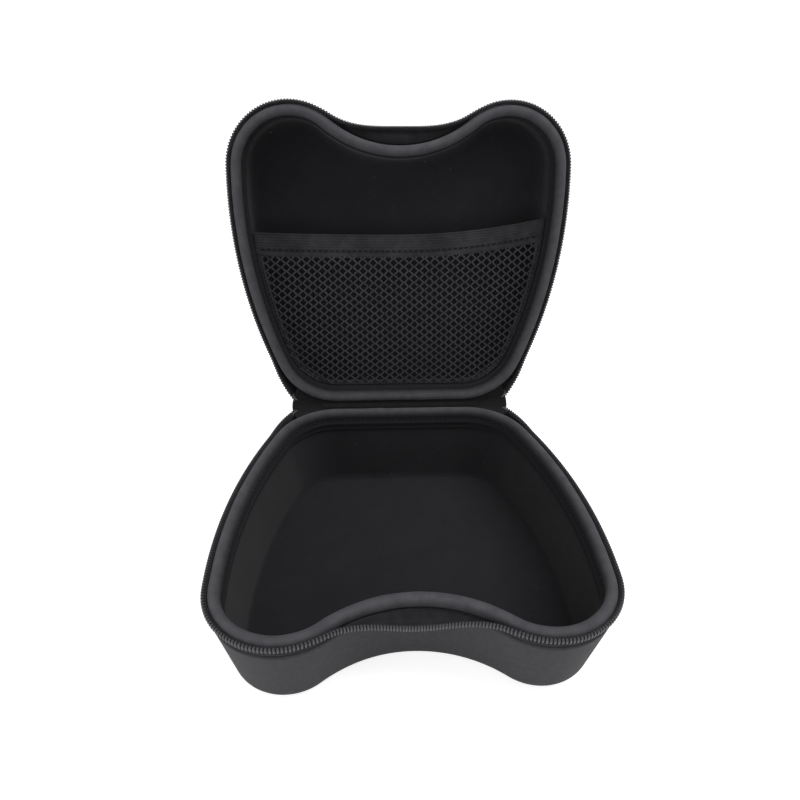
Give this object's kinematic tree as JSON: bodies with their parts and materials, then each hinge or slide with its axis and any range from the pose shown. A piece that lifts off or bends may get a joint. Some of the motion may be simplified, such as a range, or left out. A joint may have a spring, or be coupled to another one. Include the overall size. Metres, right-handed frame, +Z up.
{
  "type": "controller carrying case",
  "caption": "Zip-round moulded case for a game controller, standing open, with a deep lobed base, a hinged lid, soft bound edges and a net pocket in the lid.",
  "frame": {"origin": "centre of the base's flat underside", "axes": "+Z up out of the underside, +Y from the lobed front to the hinge side, +X to the right seen from the front"},
  "size_m": [0.1858, 0.2325, 0.213],
  "materials": {
    "outer_polyester": "smooth matte charcoal cloth on moulded foam",
    "tricot_lining": "near-black brushed tricot",
    "knit_binding": "dark grey knit over a soft core",
    "zip_tape": "woven black tape",
    "nylon_coil": "black nylon, slightly shiny",
    "hinge_cloth": "black woven cloth",
    "elastic_band": "ribbed black elastic",
    "net_thread": "black knotless net",
    "black_zinc": "black semi-matte coating"
  },
  "bodies": {
    "base": {"base_shell": "outer_polyester", "base_lining": "tricot_lining", "base_binding": "knit_binding", "base_zipper_tape": "zip_tape", "base_zipper_coil": "nylon_coil", "hinge_strip": "hinge_cloth", "slider_left": "black_zinc", "slider_right": "black_zinc"},
    "lid": {"lid_shell": "outer_polyester", "lid_lining": "tricot_lining", "lid_binding": "knit_binding", "lid_zipper_tape": "zip_tape", "lid_zipper_coil": "nylon_coil", "pocket_band": "elastic_band", "pocket_net": "net_thread"},
    "left_pull": {"pull_left": "black_zinc"},
    "right_pull": {"pull_right": "black_zinc"}
  },
  "joints": [
    {"name": "lid_hinge", "type": "hinge", "parent": "base", "child": "lid", "pos_m": [0, 0.0834, 0.05], "axis": [1, 0, 0], "range_deg": [-60, 103.5], "deforming": ["hinge_strip"]},
    {"name": "pull_left_swing", "type": "hinge", "parent": "base", "child": "left_pull", "pos_m": [-0.05546, 0.08454, 0.0434], "axis": [0.9054, 0.4245, 0], "range_deg": [-12, 50]},
    {"name": "pull_right_swing", "type": "hinge", "parent": "base", "child": "right_pull", "pos_m": [0.05546, 0.08454, 0.0434], "axis": [0.9054, -0.4245, 0], "range_deg": [-12, 50]}
  ]
}
